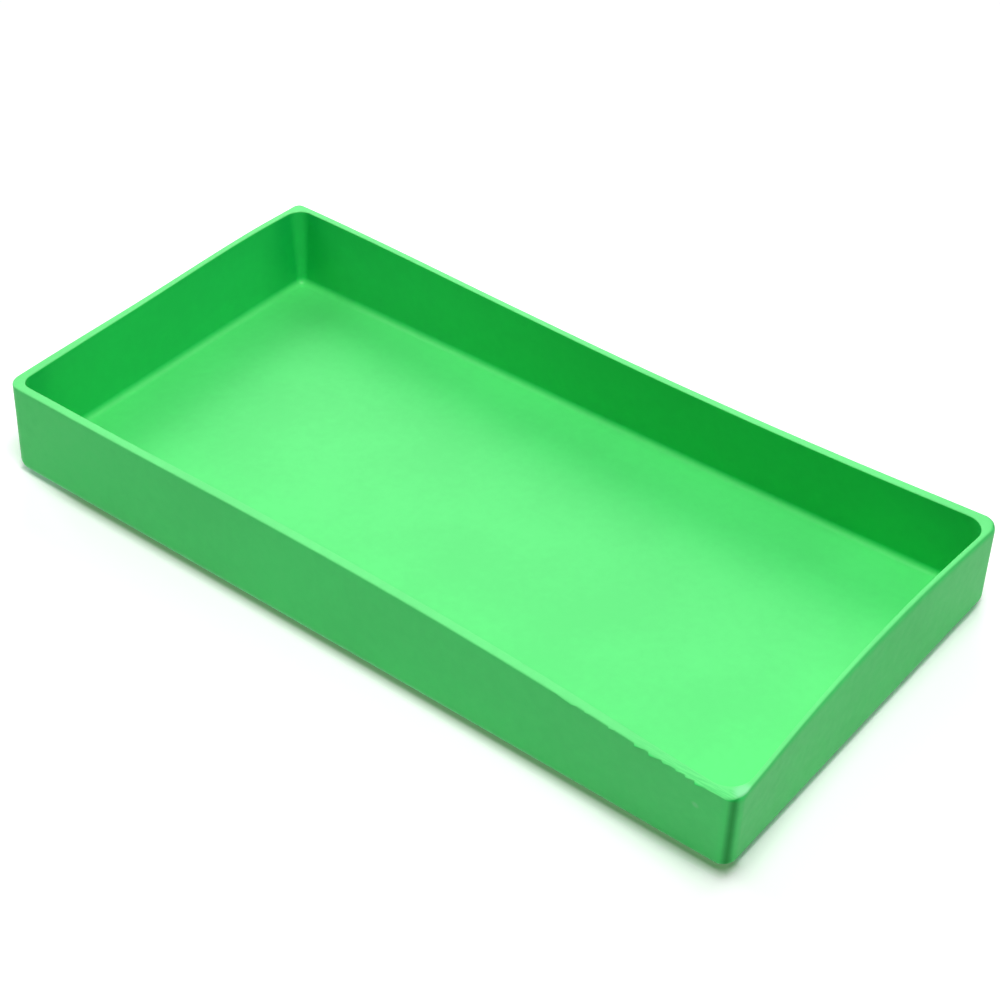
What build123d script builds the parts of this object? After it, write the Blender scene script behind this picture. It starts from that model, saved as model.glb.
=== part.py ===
"""Potting soil tray: one thick-walled open moulding with leaning walls and a slightly warped, level rim."""

from build123d import *
import os

# Rim before its warp, and the tray's height, in millimetres
rim_length = 540.0
rim_width = 263.0
tray_height = 62.0

# How far each wall leans out between the base and the rim
wall_lean = 2.0

# Thickness of the floor and of the walls level with it
floor_thickness = 6.2
wall_thickness = 4.0

# Thickness of the rim at both ends of each wall, named for the wall and then the corner
front_rim_at_left = 5.6
front_rim_at_right = 5.7
right_rim_at_front = 3.4
right_rim_at_back = 3.9
back_rim_at_right = 6.0
back_rim_at_left = 4.6
left_rim_at_back = 4.6
left_rim_at_front = 6.2

# How much thinner the rim is halfway along each wall
front_rim_thinning = 0.0
right_rim_thinning = 0.2
back_rim_thinning = 0.8
left_rim_thinning = 0.9

# Radii of the upright corners level with the base, outside and inside
outer_base_radius = 9.0
inner_base_radius = 6.0

# Radii of the same corners at the rim, where they have drawn unevenly
front_left_outer_radius = 10.0
front_right_outer_radius = 8.5
back_right_outer_radius = 9.5
back_left_outer_radius = 4.5
front_left_inner_radius = 8.5
front_right_inner_radius = 15.0
back_right_inner_radius = 13.5
back_left_inner_radius = 10.5

# Radii of the edge under the tray, of the floor to the walls, and of both edges of the rim
base_edge_radius = 8.0
floor_fillet_radius = 5.0
rim_edge_radius = 0.8

# How far the base stands along X from the middle of the rim
base_offset = -2.0

# How far the warp moves each corner of the rim along X and Y
front_left_shift_x = -0.5
front_left_shift_y = 7.3
front_right_shift_x = 3.3
front_right_shift_y = -5.2
back_right_shift_x = 0.1
back_right_shift_y = -6.0
back_left_shift_x = -1.8
back_left_shift_y = 3.8

# Inward bow of the rim at each mid-wall, its skew towards the wall's far end, and what is added to it near
# both ends. Walls run anticlockwise seen from above, and a negative bow stands outwards.
front_bow = 6.6
front_bow_skew = 6.2
front_bow_ends = -1.0
right_bow = 4.5
right_bow_skew = -0.3
right_bow_ends = 0.4
back_bow = 6.2
back_bow_skew = -1.6
back_bow_ends = -0.4
left_bow = -0.6
left_bow_skew = 1.6
left_bow_ends = -4.0
bow_power = 1.25

# Points that each wall's curve passes through, corners included
points_per_wall = 9

# How far the hollow is carried above the rim, so that it opens cleanly
hollow_overrun = 2.0

# A rounding takes at most this share of the radius or wall that it runs along
rounding_limit = 0.9

# Corners by the signs of X and Y, front left first and then anticlockwise. Each wall starts at its corner, and
# pairs of shifts and thicknesses go along X and then along Y.
corner_signs = [(-1, -1), (1, -1), (1, 1), (-1, 1)]
wall_directions = [Vector(1, 0), Vector(0, 1), Vector(-1, 0), Vector(0, -1)]
rim_corner_shifts = [
    (front_left_shift_x, front_left_shift_y),
    (front_right_shift_x, front_right_shift_y),
    (back_right_shift_x, back_right_shift_y),
    (back_left_shift_x, back_left_shift_y),
]
rim_bows = [
    (front_bow, front_bow_skew, front_bow_ends),
    (right_bow, right_bow_skew, right_bow_ends),
    (back_bow, back_bow_skew, back_bow_ends),
    (left_bow, left_bow_skew, left_bow_ends),
]
rim_thicknesses = [
    (left_rim_at_front, front_rim_at_left),
    (right_rim_at_front, front_rim_at_right),
    (right_rim_at_back, back_rim_at_right),
    (left_rim_at_back, back_rim_at_left),
]
rim_thinnings = [front_rim_thinning, right_rim_thinning, back_rim_thinning, left_rim_thinning]
outer_rim_radii = [
    front_left_outer_radius,
    front_right_outer_radius,
    back_right_outer_radius,
    back_left_outer_radius,
]
inner_rim_radii = [
    front_left_inner_radius,
    front_right_inner_radius,
    back_right_inner_radius,
    back_left_inner_radius,
]


def smooth_step(part):
    """Goes from 0 to 1 with no slope at either end."""
    return part * part * (3 - 2 * part)


def wall_curve(start, end, direction, rim_bow, thinning, share):
    """One wall's line from corner to corner, leaving each corner straight and bowing inwards between them."""
    inward = direction.rotate(Axis.Z, 90)
    chord = end - start
    middle, skew, ends = rim_bow
    points = []
    for index in range(points_per_wall):
        part = index / (points_per_wall - 1)
        position = 2 * part - 1
        bow = middle - thinning + skew * position + ends * position**2
        bowed = bow * share * (1 - position**2) ** bow_power
        along = direction * (chord.dot(direction) * part)
        across = inward * (chord.dot(inward) * smooth_step(part) + bowed)
        points.append(start + along + across)
    return Spline(*points, tangents=[direction, direction])


def between(at_base, at_rim, share):
    """A length that changes evenly from the base to the rim."""
    return at_base + (at_rim - at_base) * share


def outline(height, base_inset, rim_insets, thinnings, base_radius, rim_radii):
    """Closed outline of the tray at a height, set in from the outer face, with rounded corners."""
    share = height / tray_height
    radii = []
    centres = []
    for index, signs in enumerate(corner_signs):
        radius = between(base_radius, rim_radii[index], share)
        setback = wall_lean * (1 - share) + radius
        setback_x = setback + between(base_inset, rim_insets[index][0], share)
        setback_y = setback + between(base_inset, rim_insets[index][1], share)
        shift_x = between(base_offset, rim_corner_shifts[index][0], share)
        shift_y = between(0, rim_corner_shifts[index][1], share)
        centre_x = signs[0] * (rim_length / 2 - setback_x) + shift_x
        centre_y = signs[1] * (rim_width / 2 - setback_y) + shift_y
        radii.append(radius)
        centres.append(Vector(centre_x, centre_y, height))
    edges = []
    for index, direction in enumerate(wall_directions):
        following = (index + 1) % len(centres)
        outward = direction.rotate(Axis.Z, -90)
        start = centres[index] + outward * radii[index]
        end = centres[following] + outward * radii[following]
        edges.append(wall_curve(start, end, direction, rim_bows[index], thinnings[index], share))
        edges.append(CenterArc(centres[following], radii[following], 90 * (index - 1), 90))
    return Wire(edges)


def outer_outline(height):
    """Outline of the tray's outer face at a height."""
    no_insets = [(0, 0)] * len(corner_signs)
    no_thinnings = [0] * len(wall_directions)
    return outline(height, 0, no_insets, no_thinnings, outer_base_radius, outer_rim_radii)


def inner_outline(height):
    """Outline of the tray's inner face at a height."""
    return outline(height, wall_thickness, rim_thicknesses, rim_thinnings, inner_base_radius, inner_rim_radii)


def outer_body():
    """The tray as a solid block, rounded along the edge that it stands on."""
    block = Solid.make_loft([outer_outline(0), outer_outline(tray_height)], ruled=True)
    radius = min(base_edge_radius, rounding_limit * outer_base_radius)
    return block.fillet(radius, block.edges().group_by(Axis.Z)[0])


def hollow():
    """The space inside the tray, rounded where the floor meets the walls."""
    top = tray_height + hollow_overrun
    space = Solid.make_loft([inner_outline(floor_thickness), inner_outline(top)], ruled=True)
    radius = min(floor_fillet_radius, rounding_limit * inner_base_radius)
    return space.fillet(radius, space.edges().group_by(Axis.Z)[0])


def tray():
    """The finished moulding, with both edges of its rim eased."""
    shell = outer_body() - hollow()
    radius = min(rim_edge_radius, rounding_limit * wall_thickness / 2)
    return shell.fillet(radius, shell.edges().group_by(Axis.Z)[-1])


os.makedirs("parts", exist_ok=True)
moulding = tray()
moulding.label = "tray"
export_step(moulding, "parts/tray.step")
print("tray volume in cubic centimetres:", round(moulding.volume / 1000, 1))
print("tray size in millimetres:", moulding.bounding_box().size)
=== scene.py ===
"""Potting soil tray: a thick green plastic moulding with a hand-trimmed rim, standing on a white table."""

import math

import bmesh
import bpy
from mathutils import Euler, Matrix, Vector, noise


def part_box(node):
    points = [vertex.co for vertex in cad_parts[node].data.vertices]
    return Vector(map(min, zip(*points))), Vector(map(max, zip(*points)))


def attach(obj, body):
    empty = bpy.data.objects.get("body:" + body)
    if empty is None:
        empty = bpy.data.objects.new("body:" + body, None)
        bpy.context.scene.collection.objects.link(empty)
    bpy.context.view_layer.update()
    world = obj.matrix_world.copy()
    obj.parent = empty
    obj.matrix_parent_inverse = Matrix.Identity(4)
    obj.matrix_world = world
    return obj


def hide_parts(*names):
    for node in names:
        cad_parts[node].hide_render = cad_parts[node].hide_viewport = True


bl_info = {
    "name": "Potting soil tray",
    "version": (1, 0, 0),
    "blender": (4, 5, 0),
    "location": "View3D > Sidebar > Potting tray",
    "description": "Models a thick-walled plastic potting tray and the white table that it stands on",
    "category": "Add Mesh",
}

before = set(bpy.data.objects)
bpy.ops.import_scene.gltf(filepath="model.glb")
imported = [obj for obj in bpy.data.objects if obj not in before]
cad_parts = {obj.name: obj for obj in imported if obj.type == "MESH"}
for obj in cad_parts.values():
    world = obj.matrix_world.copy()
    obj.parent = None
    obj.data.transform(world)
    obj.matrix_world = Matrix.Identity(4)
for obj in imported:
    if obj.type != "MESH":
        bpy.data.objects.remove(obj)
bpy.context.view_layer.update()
tray_low, tray_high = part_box("tray")

# Lengths closer than this are taken as equal when faces and edges are picked by place
NEAR = 1e-5

# Corners by the signs of X and Y, in the order that lists of corners keep
CORNER_SIGNS = ((-1, -1), (1, -1), (1, 1), (-1, 1))
CORNER_ORDER = "at each corner, front left first and then anticlockwise"

# Thicknesses and corner radii of the rim in that order, and how much it thins between the corners
END_RIM = (0.0062, 0.0034, 0.0039, 0.0046)
SIDE_RIM = (0.0056, 0.0057, 0.006, 0.0046)
RIM_THINNING = (0.0, 0.0002, 0.0008, 0.0009)
OUTER_RIM_CORNERS = (0.010, 0.0085, 0.0095, 0.0045)
INNER_RIM_CORNERS = (0.0085, 0.015, 0.0135, 0.0105)

# What the three lengths of a wall's bow are. Walls run anticlockwise, and a negative bow stands outwards.
BOW_PARTS = "Inward bow at mid-wall, its skew towards the wall's far end, and what is added near both ends"

# How many wall thicknesses in from the outside of the rim a bow still has its full depth
FULL_BOW_WALLS = 3

# Segments of the upright corners, of the roundings along the bottom, and of the rim's edges
CORNER_SEGMENTS = 12
BOTTOM_SEGMENTS = 7
RIM_SEGMENTS = 5

# Largest panels that the floor and walls are cut into, and the gap between a cut and a rounding
PANEL_LENGTH = 0.012
PANEL_HEIGHT = 0.009
CUT_MARGIN = 0.001

# A face whose normal rises or falls less than this is part of a wall
WALL_STEEPNESS = 0.5

# How far right an outside face points, from 0 to 1, where the rim's deeper rounding starts and is full
FACING_RIGHT = (0.3, 0.98)

# Share of the wall's depth that the outer part of the rim takes up
OUTER_RIM_DEPTH = 0.75

# Where burrs start along the front rim, from the middle of the tray towards its right end
BURR_STARTS = (0.165, 0.175, 0.191, 0.208, 0.2175, 0.2255, 0.234, 0.240, 0.246)

# Cuts across each edge of the front rim where the burrs are, and the shortest edge that is cut
BURR_CUTS = 11
SHORTEST_CUT = 0.001

# Sizes of burrs: their mean, how far they differ from it, and the angle of their wave from one to the next
BURR_MEAN = 0.7
BURR_SPREAD = 0.3
BURR_TURN = 5

# The step that a burr starts with, as shares of its length before and after its start
BURR_STEP = (-0.12, 0.02)

# Round a corner, from 0 at the ends of its arc to 1 halfway: where the painted shade on an outer ridge
# builds up and the painted shade in an inner nook fades
RIDGE_TURN = (0.4, 1.0)
NOOK_TURN = (0.0, 0.8)

# How far along the inner walls a nook's painted shade is darkest, and how far it reaches at the floor and at
# the rim
NOOK_START = 0.002
NOOK_REACH_AT_FLOOR = 0.042
NOOK_REACH_AT_RIM = 0.020

# Start of the random draws behind the ripples in the walls
RIPPLE_SEED = 7

# Faces that meet at less than this angle, in degrees, are shaded as one
SMOOTH_ANGLE = 50

# Where trimming scraped the rim round its near corner, a scuff there, and a speck on the front wall
SCRAPED_CORNER = (0.272, -0.133, 0.062)
RIM_SCUFF = (0.2714, -0.127, 0.062)
WALL_SPECK = (0.2484, -0.1343, 0.0437)

# Distances from those marks at which they start to fade and are gone, and the strength of the speck
SCRAPED_FADE = (0.012, 0.09)
SCUFF_FADE = (0.002, 0.007)
SPECK_FADE = (0.0005, 0.003)
SPECK_STRENGTH = 0.4

# The scraped rim: where it ends towards the back and towards the inside, and its streaks
SCRAPED_BACK = (-0.131, -0.124)
SCRAPED_DEPTH = (0.75, 0.95)
STREAK_SCALE = (100, 1200, 100)
STREAK_RANGE = (0.38, 0.6)

# Where tones change: above the floor (the floor's painted sheen gives way to the inner walls' painted
# shade), below the top of the rim (painted light on the rim), up from the foot, and along the inner walls
# (painted shade deeper to the right)
WALL_TONE_START = 0.0005
RIM_TONE_START = 0.0009
RIM_TONE_FULL = 0.0002
FOOT_TONE = (0.002, 0.007)
RIGHT_TONE = (-0.2, 0.15)

# Clouds and flecks of pigment: how many there are in a metre, how they add up, and where they are dense
CLOUD_SCALE = 14.0
FLECK_SCALE = 160.0
CLOUD_SHARE = 0.7
FLECK_SHARE = 0.3
DENSE_RANGE = (0.35, 0.65)

# Roughness that flecks change up and down, and that the rim and the corner ridges add
FLECK_ROUGHNESS = 0.12
RIM_ROUGHNESS = 0.08
RIDGE_ROUGHNESS = 0.25

# Depths of the fine grain and of the orange peel
GRAIN_DEPTH = 0.00001
PEEL_DEPTH = 0.00012

# The table's width, how far it stays below the tray, and where it fades into the room
TABLE_WIDTH = 12
TABLE_DROP = 0.0003
TABLE_FADE = (0.45, 0.9)

# Shadows on the table, outwards from the tray's foot: where they start to fade and are gone, and how strong
FOOT_SHADE_FADE = (0.003, 0.009)
FRONT_SHADE_FADE = (0.004, 0.0155)
FRONT_SHADE_END_FADE = (0.003, 0.013)
FOOT_SHADE_STRENGTH = 0.7
FRONT_SHADE_STRENGTH = 0.8

# How far under the tray the front shadow runs, and how far it takes to build up from the left
FRONT_SHADE_DEPTH = 0.006
FRONT_SHADE_RISE = 0.06

# From each softbox to the tray's middle
SOFTBOX_DISTANCE = 1.6

# Sockets of a colour Mix node, which has the same names for numbers, vectors and colours
MIX_FACTOR, MIX_A, MIX_B, MIX_RESULT = 0, 6, 7, 2


def length(name, description, default):
    """A length that the user can change, in metres."""
    return bpy.props.FloatProperty(
        name=name, description=description, default=default, unit="LENGTH", precision=4)


def lengths(name, description, default):
    """Several lengths that belong together, in metres."""
    return bpy.props.FloatVectorProperty(
        name=name, description=description, default=default, size=len(default), unit="LENGTH", precision=4)


def share(name, description, default):
    """A plain share or level that the user can change."""
    return bpy.props.FloatProperty(name=name, description=description, default=default, precision=3)


def angle(name, description, degrees):
    """An angle that the user can change, written here in degrees."""
    return bpy.props.FloatProperty(
        name=name, description=description, default=math.radians(degrees), unit="ROTATION")


def colour(name, description, default):
    """A colour that the user can change, in linear values."""
    return bpy.props.FloatVectorProperty(
        name=name, description=description, default=default, subtype="COLOR", size=3, min=0.0)


class TraySizes(bpy.types.PropertyGroup):
    """Sizes of the moulding before its rim warps."""
    rim_length: length("Rim length", "Outside length along the rim", 0.540)
    rim_width: length("Rim width", "Outside width across the rim", 0.263)
    height: length("Height", "From the table to the rim", tray_high.z - tray_low.z)
    wall_lean: length("Wall lean", "How far each wall leans out between base and rim", 0.002)
    wall: length("Wall", "Thickness of the walls at the floor", 0.004)
    end_rim: lengths("End rim", "Rim thickness of the end walls " + CORNER_ORDER, END_RIM)
    side_rim: lengths("Side rim", "Rim thickness of the long walls " + CORNER_ORDER, SIDE_RIM)
    rim_thinning: lengths("Rim thinning", "How much each wall's rim thins, front first", RIM_THINNING)
    floor: length("Floor", "Thickness of the floor", 0.0062)
    outer_corner: length("Outer corner", "Radius of the upright corners outside, at the base", 0.009)
    inner_corner: length("Inner corner", "Radius of the upright corners inside, at the floor", 0.006)
    outer_rim_corners: lengths("Outer rim corners", "Radius at the rim " + CORNER_ORDER, OUTER_RIM_CORNERS)
    inner_rim_corners: lengths("Inner rim corners", "Radius at the rim " + CORNER_ORDER, INNER_RIM_CORNERS)
    base_edge: length("Base edge", "Rounding under the tray", 0.008)
    floor_fillet: length("Floor fillet", "Rounding between the floor and the walls", 0.005)
    right_rim_edge: length("Right rim edge", "Rounding of the rim outside the right wall", 0.0029)
    right_rim_drop: length("Right rim drop", "How far down the right wall that rounding runs", 0.005)
    other_rim_edge: length("Other rim edges", "Rounding of the rest of the rim", 0.0006)


class RimWarp(bpy.types.PropertyGroup):
    """How the rim has moved since the moulding left its mould."""
    base_offset: length("Base offset", "How far the base stands along X from the middle of the rim", -0.002)
    front_left: lengths("Front left", "Shift of this corner along X and Y", (-0.0005, 0.0073))
    front_right: lengths("Front right", "Shift of this corner along X and Y", (0.0033, -0.0052))
    back_right: lengths("Back right", "Shift of this corner along X and Y", (0.0001, -0.006))
    back_left: lengths("Back left", "Shift of this corner along X and Y", (-0.0018, 0.0038))
    front_bow: lengths("Front bow", BOW_PARTS, (0.0066, 0.0062, -0.001))
    right_bow: lengths("Right bow", BOW_PARTS, (0.0045, -0.0003, 0.0004))
    back_bow: lengths("Back bow", BOW_PARTS, (0.0062, -0.0016, -0.0004))
    left_bow: lengths("Left bow", BOW_PARTS, (-0.0006, 0.0016, -0.004))
    bow_power: share("Bow power", "How gently a bow leaves the corners", 1.25)
    ripple: length("Ripple", "Height of the slow waves in the walls", 0.00025)
    ripple_length: length("Ripple length", "Length of the slow waves in the walls", 0.07)


class RimTrim(bpy.types.PropertyGroup):
    """Burrs that trimming left on the outer edge of the front rim."""
    burr_reach: length("Burr reach", "How far a burr stands out from the rim", 0.0009)
    burr_droop: length("Burr droop", "How far a burr hangs down over the wall", 0.0007)
    burr_length: length("Burr length", "How far a burr runs along the rim", 0.007)


class PlasticFinish(bpy.types.PropertyGroup):
    """Colour and surface of the green plastic."""
    outer_green: colour("Outer green", "Colour of the outside", (0.04, 0.82, 0.15))
    # Painted sheen: the floor paler and whiter than the walls
    floor_sheen_green: colour("Floor green", "Colour of the floor inside", (0.09, 0.79, 0.18))
    # Painted shade: the inner walls deeper green than the outside, deepest towards the right
    inner_shade_green: colour("Inner green", "Colour of the walls inside, towards the left", (0.02, 0.65, 0.134))
    right_shade_green: colour("Deep green", "Colour of the walls inside, towards the right", (0.002, 0.575, 0.108))
    # Painted light: the rim's top face painted paler than the rest of the tray
    rim_light_green: colour("Pale green", "Colour of the trimmed rim", (0.13, 0.82, 0.22))
    # Painted shade on the ridges of the outer upright corners
    ridge_shade_green: colour("Corner green", "Colour on the ridge of the upright corners", (0.0, 0.38, 0.05))
    # Painted shade on the inner walls beside the corners
    nook_shade_green: colour("Nook green", "Colour of the inner walls beside the corners", (0.005, 0.545, 0.105))
    # Paler green over the lowest few millimetres of the tray
    foot_pale_green: colour("Foot green", "Colour of the worn edge that the tray stands on", (0.16, 0.90, 0.36))
    scraped_green: colour("Scraped green", "Colour of the rim where it was scraped", (0.085, 0.74, 0.175))
    scuff_green: colour("Scuff green", "Colour of whitened plastic", (0.24, 0.84, 0.36))
    cloudiness: share("Cloudiness", "How much darker the plastic is where its pigment is densest", 0.06)
    roughness: share("Roughness", "Roughness of the satin surface", 0.45)
    shine: share("Shine", "Strength of the reflections, where a half is that of plain plastic", 0.38)
    grain: length("Grain", "Size of the fine grain of the mould", 0.0007)
    peel: length("Peel", "Size of the soft orange peel", 0.009)


class Studio(bpy.types.PropertyGroup):
    """Camera and light."""
    azimuth: angle("Azimuth", "Turn of the camera about the tray, from the front towards the right", 40.516)
    elevation: angle("Elevation", "Angle of the camera above the table", 39.264)
    roll: angle("Roll", "Tilt of the picture", -1.878)
    distance: length("Distance", "From the camera to the tray's middle", 1.2535)
    aim_right: length("Aim right", "Shift of the picture's middle to the right", 0.0112)
    aim_up: length("Aim up", "Shift of the picture's middle upwards", 0.0189)
    lens: bpy.props.FloatProperty(name="Lens", description="Focal length for a 36 mm sensor", default=75.62)
    high_level: share("High level", "Light of the high softbox in front, on a level surface", 0.75)
    low_level: share("Low level", "Light of the low softbox behind the tray's left end", 0.194)
    back_level: share("Back level", "Light of the softbox behind the tray", 0.145)
    left_level: share("Left level", "Light of the softbox on the left", 0.164)
    table: colour("Table", "Colour of the table as it lights the tray", (0.90, 0.90, 0.90))
    seen_table: colour("Seen table", "Colour of the table in the picture", (1.15, 1.15, 1.15))
    foot_shade: colour("Foot shade", "Shadow on the table close round the tray", (0.30, 0.50, 0.36))
    front_shade: colour("Front shade", "Shadow on the table along the front", (0.10, 0.25, 0.085))


class PottingTray(bpy.types.PropertyGroup):
    """All that the panel shows."""
    sizes: bpy.props.PointerProperty(type=TraySizes)
    warp: bpy.props.PointerProperty(type=RimWarp)
    trim: bpy.props.PointerProperty(type=RimTrim)
    finish: bpy.props.PointerProperty(type=PlasticFinish)
    studio: bpy.props.PointerProperty(type=Studio)


class Value:
    """A socket's output that arithmetic works on: each operation adds one Math node."""

    def __init__(self, nodes, output):
        self.nodes = nodes
        self.output = output

    def __add__(self, other):
        return self.nodes.math("ADD", self, other)

    def __sub__(self, other):
        return self.nodes.math("SUBTRACT", self, other)

    def __rsub__(self, other):
        return self.nodes.math("SUBTRACT", other, self)

    def __mul__(self, other):
        return self.nodes.math("MULTIPLY", self, other)

    def __abs__(self):
        return self.nodes.math("ABSOLUTE", self)

    __radd__ = __add__
    __rmul__ = __mul__


class Nodes:
    """The nodes of one material or world, started empty."""

    def __init__(self, owner):
        owner.use_nodes = True
        self.tree = owner.node_tree
        self.tree.nodes.clear()

    def add(self, kind, settings=None, sockets=None):
        """Adds a node of a type, sets its settings, then gives its sockets their values or links."""
        node = self.tree.nodes.new(kind)
        for name, setting in (settings or {}).items():
            setattr(node, name, setting)
        for name, value in (sockets or {}).items():
            if isinstance(value, Value):
                self.tree.links.new(value.output, node.inputs[name])
            else:
                node.inputs[name].default_value = value
        return node

    def get(self, kind, settings=None, sockets=None, output=0):
        """Adds a node and returns one of its outputs."""
        return Value(self, self.add(kind, settings, sockets).outputs[output])

    def math(self, operation, *values):
        """Adds a Math node and returns its result."""
        return self.get("ShaderNodeMath", {"operation": operation}, dict(enumerate(values)))

    def smooth(self, value, start, end):
        """Goes smoothly from 0 at start to 1 at end."""
        sockets = {"Value": value, "From Min": start, "From Max": end}
        return self.get("ShaderNodeMapRange", {"interpolation_type": "SMOOTHSTEP"}, sockets)

    def noise(self, place, scale, detail=2.0):
        """Noise from 0 to 1 whose features are about 1 / scale metres wide."""
        sockets = {"Vector": place, "Scale": scale, "Detail": detail}
        return self.get("ShaderNodeTexNoise", {}, sockets, "Fac")

    def attribute(self, name):
        """A number that the mesh stores on its points."""
        return self.get("ShaderNodeAttribute", {"attribute_name": name}, output="Fac")

    def axis(self, place, name):
        """One coordinate of a place, named X, Y or Z."""
        return self.get("ShaderNodeSeparateXYZ", {}, {"Vector": place}, name)

    def distance(self, place, other):
        """Distance between two places."""
        return self.get("ShaderNodeVectorMath", {"operation": "DISTANCE"}, {0: place, 1: other}, "Value")

    def mix(self, factor, first, second):
        """Colour between two others."""
        sockets = {MIX_FACTOR: factor, MIX_A: first, MIX_B: second}
        return self.get("ShaderNodeMix", {"data_type": "RGBA"}, sockets, MIX_RESULT)


def opaque(rgb):
    """A colour with full alpha, as a socket takes it."""
    return (*rgb, 1.0)


def deselect_all():
    """Leaves edit mode and deselects every object."""
    if bpy.context.object and bpy.context.object.mode != "OBJECT":
        bpy.ops.object.mode_set(mode="OBJECT")
    bpy.ops.object.select_all(action="DESELECT")


def pick_edges(piece, wanted):
    """In edit mode, selects only the edges that pass a test."""
    bpy.ops.mesh.select_mode(type="EDGE")
    bpy.ops.mesh.select_all(action="DESELECT")
    mesh = bmesh.from_edit_mesh(piece.data)
    for edge in mesh.edges:
        edge.select_set(wanted(edge))
    bmesh.update_edit_mesh(piece.data)


def pick_faces(piece, wanted):
    """In edit mode, selects only the faces that pass a test."""
    bpy.ops.mesh.select_mode(type="FACE")
    bpy.ops.mesh.select_all(action="DESELECT")
    mesh = bmesh.from_edit_mesh(piece.data)
    for face in mesh.faces:
        face.select_set(wanted(face))
    bmesh.update_edit_mesh(piece.data)


def is_upright(edge):
    """True for an edge that runs straight up."""
    start, end = edge.verts[0].co, edge.verts[1].co
    return (start - end).xy.length < NEAR


def reshape_rim_corners(block, size, top, radius, rim_radii):
    """Draws the corners of a block's top edge in or out to radii of their own."""
    for (sign_x, sign_y), rim_radius in zip(CORNER_SIGNS, rim_radii):
        tip = Vector((sign_x * size.x / 2, sign_y * size.y / 2, top))
        for corner in block.data.vertices:
            offset = corner.co - tip
            if max(abs(offset.x), abs(offset.y)) < radius + NEAR and abs(offset.z) < NEAR:
                corner.co = tip + offset * rim_radius / radius


def open_block(name, size, bottom, corner_radius, bottom_radius, rim_radii):
    """An open-topped block with rounded upright corners and a rounded bottom edge."""
    deselect_all()
    bpy.ops.mesh.primitive_cube_add(size=1, location=(0, 0, bottom + size.z / 2))
    block = bpy.context.object
    block.name = name
    block.scale = size
    bpy.ops.object.transform_apply(location=True, rotation=True, scale=True)
    bpy.ops.object.mode_set(mode="EDIT")
    pick_edges(block, is_upright)
    bpy.ops.mesh.bevel(offset=corner_radius, segments=CORNER_SEGMENTS, affect="EDGES", clamp_overlap=False)
    pick_edges(block, lambda edge: all(abs(corner.co.z - bottom) < NEAR for corner in edge.verts))
    bpy.ops.mesh.bevel(offset=bottom_radius, segments=BOTTOM_SEGMENTS, affect="EDGES", clamp_overlap=False)
    top = bottom + size.z
    pick_faces(block, lambda face: all(abs(corner.co.z - top) < NEAR for corner in face.verts))
    bpy.ops.mesh.delete(type="FACE")
    bpy.ops.object.mode_set(mode="OBJECT")
    reshape_rim_corners(block, size, top, corner_radius, rim_radii)
    return block


def nested_blocks(sizes):
    """The outside and the inside of the moulding as two open blocks, joined round the rim."""
    outside_size = Vector((sizes.rim_length, sizes.rim_width, sizes.height))
    inside_size = outside_size - Vector((2 * sizes.wall, 2 * sizes.wall, sizes.floor))
    outer_radii = (sizes.outer_corner, sizes.base_edge, sizes.outer_rim_corners)
    inner_radii = (sizes.inner_corner, sizes.floor_fillet, sizes.inner_rim_corners)
    outside = open_block("tray_moulding", outside_size, 0, *outer_radii)
    inside = open_block("inside", inside_size, sizes.floor, *inner_radii)
    bpy.ops.object.mode_set(mode="EDIT")
    bpy.ops.mesh.select_all(action="SELECT")
    bpy.ops.mesh.flip_normals()
    bpy.ops.object.mode_set(mode="OBJECT")
    inside.select_set(True)
    outside.select_set(True)
    bpy.context.view_layer.objects.active = outside
    bpy.ops.object.join()
    bpy.ops.object.mode_set(mode="EDIT")
    pick_edges(outside, lambda edge: edge.is_boundary)
    bpy.ops.mesh.bridge_edge_loops()
    bpy.ops.object.mode_set(mode="OBJECT")
    return outside


def rim_side(edge, height):
    """The sideways direction of the wall that an edge of the rim tops, or none for other edges."""
    if any(abs(corner.co.z - height) > NEAR for corner in edge.verts):
        return None
    walls = [face.normal for face in edge.link_faces if abs(face.normal.z) < WALL_STEEPNESS]
    return walls[0] if len(walls) == 1 else None


def smooth_step(value, start, end):
    """Goes smoothly from 0 at start to 1 at end."""
    part = min(max((value - start) / (end - start), 0.0), 1.0)
    return part * part * (3 - 2 * part)


def round_rim(piece, sizes):
    """Rounds both edges of the rim, and rounds the outer one more along the right wall."""
    least = sizes.other_rim_edge / sizes.right_rim_edge
    mesh = bmesh.new()
    mesh.from_mesh(piece.data)
    weight = mesh.edges.layers.float.new("bevel_weight_edge")
    for edge in mesh.edges:
        side = rim_side(edge, sizes.height)
        if side is None:
            continue
        outwards = side.xy.dot((edge.verts[0].co + edge.verts[1].co).xy) > 0
        right = smooth_step(side.x, *FACING_RIGHT) if outwards else 0.0
        edge[weight] = least + (1 - least) * right
    mesh.to_mesh(piece.data)
    mesh.free()
    rounding = piece.modifiers.new("Rim rounding", "BEVEL")
    rounding.limit_method = "WEIGHT"
    rounding.width = sizes.right_rim_edge
    rounding.segments = RIM_SEGMENTS
    rounding.use_clamp_overlap = False
    bpy.ops.object.modifier_apply(modifier=rounding.name)


def lower_right_shoulder(piece, sizes):
    """Stretches the rounding outside the right wall further down the wall."""
    stretch = sizes.right_rim_drop / sizes.right_rim_edge - 1
    for corner in piece.data.vertices:
        down = sizes.height - corner.co.z
        in_rounding = down < sizes.right_rim_edge + NEAR
        if in_rounding and corner.co.x > 0 and depth_share(corner.co, sizes) < OUTER_RIM_DEPTH:
            beyond_x, beyond_y = outer_corner(corner.co, sizes)[1:]
            facing_right = beyond_x / math.hypot(beyond_x, max(beyond_y, 0.0))
            corner.co.z -= down * stretch * smooth_step(facing_right, *FACING_RIGHT)


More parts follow.
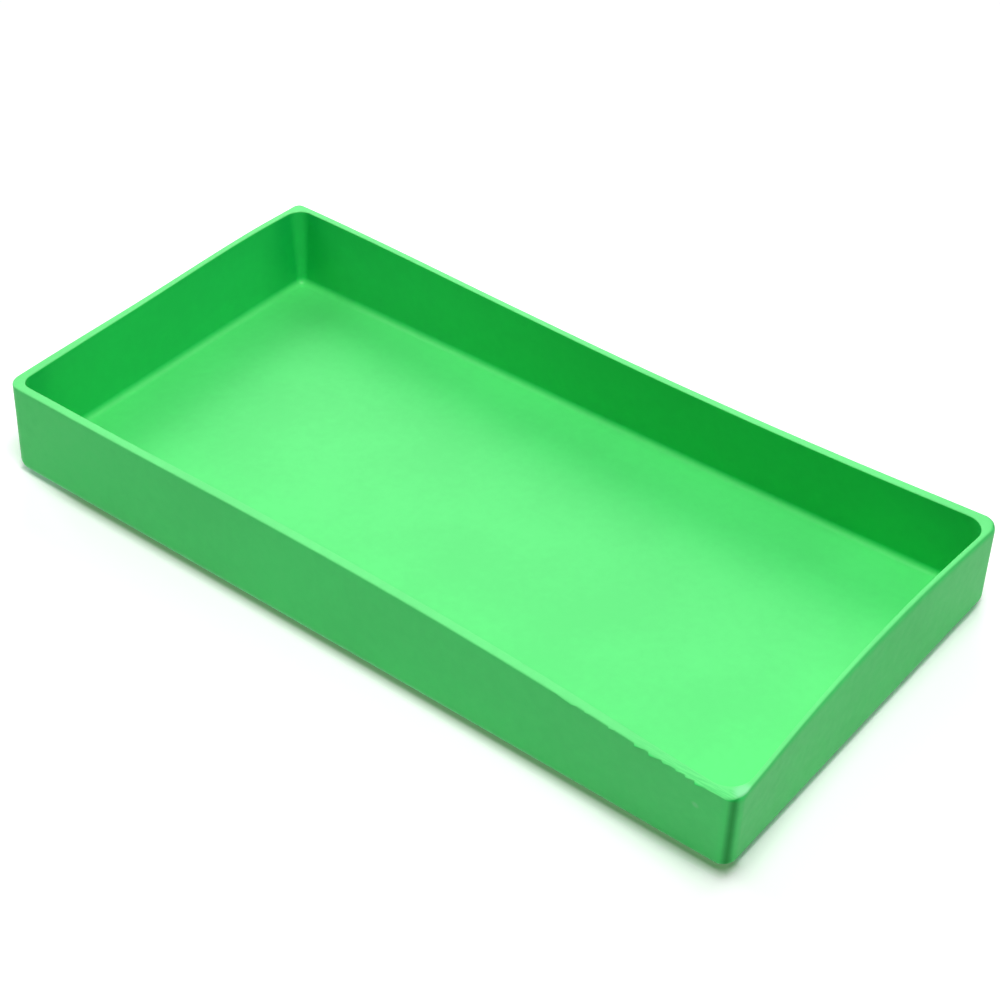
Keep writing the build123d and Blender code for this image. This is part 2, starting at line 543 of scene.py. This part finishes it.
def wall_top(sizes):
    """Height of the highest cut round the walls, just under the rounding of the rim."""
    return sizes.height - sizes.right_rim_drop - CUT_MARGIN


def cut_across(piece, axis, places):
    """Cuts all faces along planes square to an axis, so that the walls can bend."""
    normal = [0.0, 0.0, 0.0]
    normal[axis] = 1.0
    bpy.ops.object.mode_set(mode="EDIT")
    for place in places:
        bpy.ops.mesh.select_all(action="SELECT")
        bpy.ops.mesh.bisect(plane_co=[place * part for part in normal], plane_no=normal)
    bpy.ops.object.mode_set(mode="OBJECT")


def even_places(low, high, step):
    """Places from low to high, no further apart than a step."""
    count = math.ceil((high - low) / step)
    return [low + (high - low) * index / count for index in range(count + 1)]


def cut_for_bending(piece, sizes):
    """Cuts the walls and the floor into small panels."""
    past_corners = max(sizes.inner_rim_corners) + sizes.wall + CUT_MARGIN
    reach_x = sizes.rim_length / 2 - past_corners
    reach_y = sizes.rim_width / 2 - past_corners
    low = max(sizes.base_edge, sizes.floor + sizes.floor_fillet)
    cut_across(piece, 0, even_places(-reach_x, reach_x, PANEL_LENGTH))
    cut_across(piece, 1, even_places(-reach_y, reach_y, PANEL_LENGTH))
    cut_across(piece, 2, even_places(low, wall_top(sizes), PANEL_HEIGHT)[1:])


def on_front_rim(place, sizes):
    """True for points of the rim and the top of the wall along the front, where the burrs are."""
    inner = sizes.wall - sizes.rim_width / 2 + NEAR
    return place.z > wall_top(sizes) - NEAR and place.y < inner


def cut_for_burrs(piece, sizes, trim):
    """Cuts the front rim into slices of about a millimetre between the first burr and the last."""
    start = BURR_STARTS[0] - trim.burr_length
    end = BURR_STARTS[-1] + 2 * trim.burr_length

    def along_burrs(edge):
        """True for an edge that runs along the front rim where the burrs are."""
        first, second = edge.verts[0].co, edge.verts[1].co
        runs_along = abs(first.x - second.x) > SHORTEST_CUT
        within = start < min(first.x, second.x) and max(first.x, second.x) < end
        return runs_along and within and on_front_rim(first, sizes) and on_front_rim(second, sizes)

    bpy.ops.object.mode_set(mode="EDIT")
    pick_edges(piece, along_burrs)
    bpy.ops.mesh.subdivide(number_cuts=BURR_CUTS)
    bpy.ops.object.mode_set(mode="OBJECT")


def burr_share(x, trim):
    """Shape of the burrs along the rim: each starts as a sharp step and thins out to the right."""
    most = 0.0
    for index, start in enumerate(BURR_STARTS):
        size = BURR_MEAN + BURR_SPREAD * math.sin(BURR_TURN * index)
        part = (x - start) / (trim.burr_length * size)
        taper = max(1 - part, 0.0) * smooth_step(part, *BURR_STEP)
        most = max(most, taper * size)
    return most


def raise_burrs(piece, sizes, trim):
    """Pulls the outer rounding of the front rim out and down into burrs."""
    cut_for_burrs(piece, sizes, trim)
    outer = sizes.other_rim_edge - sizes.rim_width / 2
    low = sizes.height - sizes.other_rim_edge
    for corner in piece.data.vertices:
        place = corner.co
        if place.y < outer - NEAR and low + NEAR < place.z < sizes.height - NEAR:
            burr = burr_share(place.x, trim)
            corner.co = place + burr * Vector((0, -trim.burr_reach, -trim.burr_droop))


def corner_index(place):
    """Which corner a point is nearest to, as its place in lists of corners."""
    return CORNER_SIGNS.index((1 if place.x > 0 else -1, 1 if place.y > 0 else -1))


def outer_corner(place, sizes):
    """The radius of the outer corner nearest to a point, and how far the point is past its arc's ends."""
    rim_radius = sizes.outer_rim_corners[corner_index(place)]
    radius = sizes.outer_corner + (rim_radius - sizes.outer_corner) * place.z / sizes.height
    beyond_x = abs(place.x) - sizes.rim_length / 2 + radius
    beyond_y = abs(place.y) - sizes.rim_width / 2 + radius
    return radius, beyond_x, beyond_y


def turn_share(beyond_x, beyond_y):
    """How far round a corner a point is, from 0 at either end of the arc to 1 halfway."""
    return 1 - abs(math.atan2(beyond_y, beyond_x) / (math.pi / 4) - 1)


def ridge_share(place, sizes):
    """How near a point is to the ridge of an upright outer corner, from 0 to 1."""
    radius, beyond_x, beyond_y = outer_corner(place, sizes)
    if min(beyond_x, beyond_y) < 0 or math.hypot(beyond_x, beyond_y) < radius / 2:
        return 0.0
    return smooth_step(turn_share(beyond_x, beyond_y), *RIDGE_TURN)


def depth_share(place, sizes):
    """How deep a point lies in the wall, from 0 on the outer face to 1 on the inner face and beyond."""
    radius, beyond_x, beyond_y = outer_corner(place, sizes)
    past_arc = math.hypot(max(beyond_x, 0), max(beyond_y, 0)) + min(max(beyond_x, beyond_y), 0)
    return min((radius - past_arc) / sizes.wall, 1.0)


def nook_share(place, sizes):
    """How near a point of the inner walls is to either end of a corner's arc, from 0 to 1."""
    rim_radius = sizes.inner_rim_corners[corner_index(place)]
    rise = (place.z - sizes.floor) / (sizes.height - sizes.floor)
    radius = sizes.inner_corner + (rim_radius - sizes.inner_corner) * rise
    beyond_x = abs(place.x) - sizes.rim_length / 2 + sizes.wall + radius
    beyond_y = abs(place.y) - sizes.rim_width / 2 + sizes.wall + radius
    if min(beyond_x, beyond_y) < NEAR:
        reach = NOOK_REACH_AT_FLOOR + (NOOK_REACH_AT_RIM - NOOK_REACH_AT_FLOOR) * rise
        return 1 - smooth_step(-min(beyond_x, beyond_y), NOOK_START, reach)
    return 1 - smooth_step(turn_share(beyond_x, beyond_y), *NOOK_TURN)


def mark_places(piece, sizes):
    """Stores on each point how near it is to a corner's ridge or nook, where the material paints shade, and
    how far inside the tray it is.
    """
    ridge = piece.data.attributes.new("corner_ridge", "FLOAT", "POINT")
    inside = piece.data.attributes.new("inside", "FLOAT", "POINT")
    nook = piece.data.attributes.new("corner_nook", "FLOAT", "POINT")
    for corner in piece.data.vertices:
        if corner.co.z < sizes.height - sizes.other_rim_edge + NEAR:
            ridge.data[corner.index].value = ridge_share(corner.co, sizes)
        if corner.co.z > sizes.floor - NEAR:
            inside.data[corner.index].value = depth_share(corner.co, sizes)
            nook.data[corner.index].value = nook_share(corner.co, sizes)


def clamp(value):
    """Keeps a position along a wall between its ends, -1 and 1."""
    return min(max(value, -1.0), 1.0)


def side_shift(position):
    """Goes from -1 at one end of a wall to 1 at the other, level at both ends."""
    return (3 * position - position**3) / 2


def bow(position, parts, thinning, power):
    """Inward bow of a wall at a position from -1 at its start to 1 at its end."""
    middle, skew, ends = parts
    return (middle - thinning + skew * position + ends * position**2) * (1 - position**2) ** power


def between_corners(along, across, corners):
    """What a place between the four corners takes from the shifts that the corners have."""
    shift = Vector((0, 0))
    for (sign_x, sign_y), moved in zip(CORNER_SIGNS, corners):
        weight = (1 + sign_x * side_shift(along)) * (1 + sign_y * side_shift(across)) / 4
        shift += weight * Vector(moved)
    return shift


def corner_shifts(sizes, warp):
    """Shifts of the four corners of the rim, and what its inner edge moves inwards besides."""
    outer = (warp.front_left, warp.front_right, warp.back_right, warp.back_left)
    inner = []
    for (sign_x, sign_y), end_rim, side_rim in zip(CORNER_SIGNS, sizes.end_rim, sizes.side_rim):
        inner.append((sign_x * (sizes.wall - end_rim), sign_y * (sizes.wall - side_rim)))
    return outer, inner


def bow_shift(place, along, across, depth, sizes, warp):
    """How far the bows of the walls beside a point move it at the rim, less towards the tray's middle."""
    front, right, back, left = [depth * thinning for thinning in sizes.rim_thinning]
    full_x = sizes.rim_length / 2 - FULL_BOW_WALLS * sizes.wall
    full_y = sizes.rim_width / 2 - FULL_BOW_WALLS * sizes.wall
    if place.x < 0:
        shift_x = bow(-across, warp.left_bow, left, warp.bow_power)
    else:
        shift_x = -bow(across, warp.right_bow, right, warp.bow_power)
    if place.y < 0:
        shift_y = bow(along, warp.front_bow, front, warp.bow_power)
    else:
        shift_y = -bow(-along, warp.back_bow, back, warp.bow_power)
    near_x = min(abs(place.x) / full_x, 1.0)
    near_y = min(abs(place.y) / full_y, 1.0)
    return Vector((near_x * shift_x, near_y * shift_y))


def warped(place, sizes, warp):
    """Where a point of the straight moulding lies on the leaning and warped one."""
    rise = place.z / sizes.height
    half_x, half_y = sizes.rim_length / 2, sizes.rim_width / 2
    along = clamp(place.x / (half_x - sizes.outer_corner))
    across = clamp(place.y / (half_y - sizes.outer_corner))
    lean = sizes.wall_lean * (1 - rise)
    flat = Vector((place.x * (1 - lean / half_x), place.y * (1 - lean / half_y)))
    flat.x += (1 - rise) * warp.base_offset
    outer, inner = corner_shifts(sizes, warp)
    depth = depth_share(place, sizes)
    flat += rise * between_corners(along, across, outer)
    flat += rise * depth * between_corners(along, across, inner)
    flat += rise * bow_shift(place, along, across, depth, sizes, warp)
    return flat.to_3d() + Vector((0, 0, place.z))


def ripple(place, sizes, warp):
    """Slow uneven waves, largest at the rim and none on the table."""
    rise = place.z / sizes.height
    wave = noise.noise_vector(place / warp.ripple_length)
    return Vector((wave.x, wave.y, 0)) * warp.ripple * rise


def warp_moulding(piece, sizes, warp):
    """Leans, racks and bows the walls as the finished moulding's have."""
    noise.seed_set(RIPPLE_SEED)
    for corner in piece.data.vertices:
        moved = warped(corner.co, sizes, warp)
        corner.co = moved + ripple(moved, sizes, warp)
    piece.data.update()


def smooth_shading(piece):
    """Smooth shading that leaves the broad faces flat."""
    bpy.ops.object.shade_smooth_by_angle(angle=math.radians(SMOOTH_ANGLE))
    weighting = piece.modifiers.new("Flat faces lead", "WEIGHTED_NORMAL")
    weighting.keep_sharp = True
    bpy.ops.object.modifier_apply(modifier=weighting.name)


def rim_tone(nodes, place, inside, finish):
    """Colour of the rim: painted paler as painted light on its top face, with a streaky scrape and a scuff
    round its near corner.
    """
    in_front = 1 - nodes.smooth(nodes.axis(place, "Y"), *SCRAPED_BACK)
    near_corner = 1 - nodes.smooth(nodes.distance(place, SCRAPED_CORNER), *SCRAPED_FADE)
    outer_part = 1 - nodes.smooth(inside, *SCRAPED_DEPTH)
    drawn_out = nodes.get("ShaderNodeVectorMath", {"operation": "MULTIPLY"}, {0: place, 1: STREAK_SCALE})
    streaks = nodes.smooth(nodes.noise(drawn_out, 1.0, detail=3.0), *STREAK_RANGE)
    scraped = in_front * near_corner * outer_part * streaks
    scuffed = 1 - nodes.smooth(nodes.distance(place, RIM_SCUFF), *SCUFF_FADE)
    tone = nodes.mix(scraped, opaque(finish.rim_light_green), opaque(finish.scraped_green))
    return nodes.mix(scuffed, tone, opaque(finish.scuff_green))


def moulding_tone(nodes, place, height, inside, finish, sizes):
    """Colour below the rim: floor with a painted sheen, inner walls with painted shade, outside, a paler
    foot, painted shade on the corner ridges, and one pale speck.
    """
    wall = nodes.smooth(height, sizes.floor + WALL_TONE_START, sizes.floor + sizes.floor_fillet)
    foot = 1 - nodes.smooth(height, *FOOT_TONE)
    ridge = nodes.attribute("corner_ridge")
    nook = nodes.attribute("corner_nook")
    speck = 1 - nodes.smooth(nodes.distance(place, WALL_SPECK), *SPECK_FADE)
    rightwards = nodes.smooth(nodes.axis(place, "X"), *RIGHT_TONE)
    # Painted shade: the inner walls deeper green than the outside, and deeper still towards the right
    tone = nodes.mix(rightwards, opaque(finish.inner_shade_green), opaque(finish.right_shade_green))
    # Painted shade in the nooks beside the inner corners
    tone = nodes.mix(nook * (1 - rightwards), tone, opaque(finish.nook_shade_green))
    # The floor paler than the inner walls: a painted sheen
    tone = nodes.mix(wall, opaque(finish.floor_sheen_green), tone)
    tone = nodes.mix(inside, opaque(finish.outer_green), tone)
    # Paler green over the lowest few millimetres of the tray
    tone = nodes.mix(foot, tone, opaque(finish.foot_pale_green))
    # Painted shade on the ridges of the outer upright corners
    tone = nodes.mix(ridge, tone, opaque(finish.ridge_shade_green))
    return nodes.mix(speck * SPECK_STRENGTH, tone, opaque(finish.scuff_green))


def mould_relief(nodes, place, finish):
    """Bump of the mould's fine grain and soft orange peel."""
    grain = nodes.noise(place, 1 / finish.grain)
    peel = nodes.noise(place, 1 / finish.peel, detail=1.0)
    relief = grain * GRAIN_DEPTH + peel * PEEL_DEPTH
    return nodes.get("ShaderNodeBump", {}, {"Height": relief, "Strength": 1.0, "Distance": 1.0}, "Normal")


def green_plastic(finish, sizes):
    """Satin green plastic: slow changes of tone, fine mould grain, painted sheen and shade, and a rim
    painted paler as painted light.
    """
    material = bpy.data.materials.new("green_plastic")
    nodes = Nodes(material)
    place = nodes.get("ShaderNodeTexCoord", output="Object")
    height = nodes.axis(place, "Z")
    inside = nodes.attribute("inside")
    cloud = nodes.noise(place, CLOUD_SCALE, detail=3.0)
    fleck = nodes.noise(place, FLECK_SCALE, detail=4.0)
    rim = nodes.smooth(height, sizes.height - RIM_TONE_START, sizes.height - RIM_TONE_FULL)
    dense = nodes.smooth(cloud * CLOUD_SHARE + fleck * FLECK_SHARE, *DENSE_RANGE)
    tone = moulding_tone(nodes, place, height, inside, finish, sizes)
    # The rim painted paler: painted light on its top face
    tone = nodes.mix(rim, tone, rim_tone(nodes, place, inside, finish))
    worn = rim * RIM_ROUGHNESS + nodes.attribute("corner_ridge") * RIDGE_ROUGHNESS
    sockets = {
        "Base Color": nodes.mix(dense * finish.cloudiness, tone, opaque((0, 0, 0))),
        "Roughness": finish.roughness + (fleck - 0.5) * FLECK_ROUGHNESS + worn,
        "Normal": mould_relief(nodes, place, finish),
        "IOR": 1.5,
        "Specular IOR Level": finish.shine,
    }
    surface = nodes.get("ShaderNodeBsdfPrincipled", {}, sockets)
    nodes.add("ShaderNodeOutputMaterial", {}, {"Surface": surface})
    return material


def camera_ray(nodes):
    """A value that is 1 for what the camera sees straight on, and 0 for light and reflections."""
    return nodes.get("ShaderNodeLightPath", output="Is Camera Ray")


def foot_shadows(nodes, place, settings):
    """Masks of the two shadows on the table: close round the tray's foot, and along the front."""
    sizes = settings.sizes
    foot_end = sizes.rim_length / 2 - sizes.wall_lean - sizes.base_edge
    foot_side = sizes.rim_width / 2 - sizes.wall_lean - sizes.base_edge
    along = nodes.axis(place, "X") - settings.warp.base_offset
    across = nodes.axis(place, "Y")
    past_end = abs(along) - foot_end
    past_side = abs(across) - foot_side
    around = 1 - nodes.smooth(nodes.math("MAXIMUM", past_end, past_side), *FOOT_SHADE_FADE)
    before_side = 1 - nodes.smooth(past_side, *FRONT_SHADE_FADE)
    before_end = 1 - nodes.smooth(past_end, *FRONT_SHADE_END_FADE)
    in_front = 1 - nodes.smooth(across, -foot_side, FRONT_SHADE_DEPTH - foot_side)
    rising = nodes.smooth(along, -foot_end, FRONT_SHADE_RISE - foot_end)
    return around, before_side * before_end * in_front * rising


def seen_table(nodes, place, settings):
    """The table in the picture: white, with a soft shadow round the tray's foot that is darkest in front."""
    studio = settings.studio
    around, front = foot_shadows(nodes, place, settings)
    around_factor, front_factor = around * FOOT_SHADE_STRENGTH, front * FRONT_SHADE_STRENGTH
    top = nodes.get("ShaderNodeBsdfDiffuse", {}, {"Color": opaque(studio.seen_table)})
    foot_shade = nodes.get("ShaderNodeEmission", {}, {"Color": opaque(studio.foot_shade)})
    front_shade = nodes.get("ShaderNodeEmission", {}, {"Color": opaque(studio.front_shade)})
    top = nodes.get("ShaderNodeMixShader", {}, {0: around_factor, 1: top, 2: foot_shade})
    return nodes.get("ShaderNodeMixShader", {}, {0: front_factor, 1: top, 2: front_shade})


def white_table(settings):
    """White table top, brighter in the picture than it lights the tray, that fades into the white room."""
    material = bpy.data.materials.new("white_table")
    nodes = Nodes(material)
    place = nodes.get("ShaderNodeTexCoord", output="Object")
    reach = nodes.get("ShaderNodeVectorMath", {"operation": "LENGTH"}, {0: place}, "Value")
    camera = camera_ray(nodes)
    fade = nodes.smooth(reach, *TABLE_FADE) * camera
    top = nodes.get("ShaderNodeBsdfDiffuse", {}, {"Color": opaque(settings.studio.table)})
    seen_top = seen_table(nodes, place, settings)
    any_top = nodes.get("ShaderNodeMixShader", {}, {0: camera, 1: top, 2: seen_top})
    white = nodes.get("ShaderNodeEmission", {}, {"Strength": 1.0})
    surface = nodes.get("ShaderNodeMixShader", {}, {0: fade, 1: any_top, 2: white})
    nodes.add("ShaderNodeOutputMaterial", {}, {"Surface": surface})
    return material


def add_table(settings):
    """The table that the tray stands on."""
    deselect_all()
    bpy.ops.mesh.primitive_plane_add(size=TABLE_WIDTH, location=(0, 0, -TABLE_DROP))
    table = bpy.context.object
    table.name = "table"
    table.data.materials.append(white_table(settings))


def add_softbox(name, level, azimuth, elevation, width):
    """A square softbox facing the tray, at two angles in degrees. Its level is the light on the table."""
    deselect_all()
    turn = Euler((math.radians(90 - elevation), 0, math.radians(azimuth))).to_matrix()
    centre = turn @ Vector((0, 0, SOFTBOX_DISTANCE))
    bpy.ops.object.light_add(type="AREA", location=centre)
    box = bpy.context.object
    box.name = name
    box.rotation_euler = turn.to_euler()
    box.data.size = width
    box.data.energy = level * math.pi**2 * centre.length_squared * centre.length / centre.z
    box.visible_camera = False


def light_room():
    """Room that is white to the camera and sends no light."""
    world = bpy.data.worlds.new("white_room")
    bpy.context.scene.world = world
    nodes = Nodes(world)
    sockets = {"Color": opaque((1, 1, 1)), "Strength": camera_ray(nodes)}
    room = nodes.get("ShaderNodeBackground", {}, sockets)
    nodes.add("ShaderNodeOutputWorld", {}, {"Surface": room})


def add_camera(studio):
    """The camera at the photograph's angle."""
    deselect_all()
    bpy.ops.object.camera_add()
    camera = bpy.context.object
    camera.name = "camera"
    turn = Euler((math.pi / 2 - studio.elevation, 0, studio.azimuth)).to_matrix()
    turn = turn @ Matrix.Rotation(studio.roll, 3, "Z")
    camera.location = turn @ Vector((studio.aim_right, studio.aim_up, studio.distance))
    camera.rotation_euler = turn.to_euler()
    camera.data.sensor_width = 36
    camera.data.lens = studio.lens
    camera.data.clip_start = 0.01
    bpy.context.scene.camera = camera


class POTTINGTRAY_OT_moulding(bpy.types.Operator):
    """Models the tray, from two nested blocks to the warped and trimmed moulding"""
    bl_idname = "potting_tray.moulding"
    bl_label = "Tray moulding"

    def execute(self, context):
        settings = context.scene.potting_tray
        piece = nested_blocks(settings.sizes)
        round_rim(piece, settings.sizes)
        lower_right_shoulder(piece, settings.sizes)
        cut_for_bending(piece, settings.sizes)
        raise_burrs(piece, settings.sizes, settings.trim)
        mark_places(piece, settings.sizes)
        warp_moulding(piece, settings.sizes, settings.warp)
        smooth_shading(piece)
        piece.data.materials.clear()
        piece.data.materials.append(green_plastic(settings.finish, settings.sizes))
        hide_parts("tray")
        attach(piece, "root")
        return {"FINISHED"}


class POTTINGTRAY_OT_stage(bpy.types.Operator):
    """Adds the table, the soft light, the white room and the camera"""
    bl_idname = "potting_tray.stage"
    bl_label = "Table, light and camera"

    def execute(self, context):
        settings = context.scene.potting_tray
        studio = settings.studio
        add_table(settings)
        add_softbox("high_softbox", studio.high_level, azimuth=60, elevation=72, width=0.7)
        add_softbox("low_softbox", studio.low_level, azimuth=219, elevation=30, width=1.1)
        add_softbox("back_softbox", studio.back_level, azimuth=180, elevation=44, width=1.1)
        add_softbox("left_softbox", studio.left_level, azimuth=270, elevation=33, width=0.7)
        light_room()
        add_camera(studio)
        context.scene.view_settings.view_transform = "Standard"
        return {"FINISHED"}


class POTTINGTRAY_PT_panel(bpy.types.Panel):
    """Lists the sizes, the finish and the operators"""
    bl_idname = "POTTINGTRAY_PT_panel"
    bl_label = "Potting tray"
    bl_space_type = "VIEW_3D"
    bl_region_type = "UI"
    bl_category = "Potting tray"

    def draw(self, context):
        settings = context.scene.potting_tray
        for group in (settings.sizes, settings.warp, settings.trim, settings.finish, settings.studio):
            box = self.layout.box()
            for name in group.__annotations__:
                box.prop(group, name)
        self.layout.operator(POTTINGTRAY_OT_moulding.bl_idname)
        self.layout.operator(POTTINGTRAY_OT_stage.bl_idname)


CLASSES = (
    TraySizes,
    RimWarp,
    RimTrim,
    PlasticFinish,
    Studio,
    PottingTray,
    POTTINGTRAY_OT_moulding,
    POTTINGTRAY_OT_stage,
    POTTINGTRAY_PT_panel,
)


def register():
    """Makes the settings, the operators and the panel known to Blender."""
    for kind in CLASSES:
        bpy.utils.register_class(kind)
    bpy.types.Scene.potting_tray = bpy.props.PointerProperty(type=PottingTray)


def unregister():
    """Takes the settings, the operators and the panel out of Blender again."""
    del bpy.types.Scene.potting_tray
    for kind in reversed(CLASSES):
        bpy.utils.unregister_class(kind)


def main():
    """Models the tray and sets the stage."""
    register()
    bpy.ops.potting_tray.moulding()
    bpy.ops.potting_tray.stage()


if __name__ == "__main__":
    main()
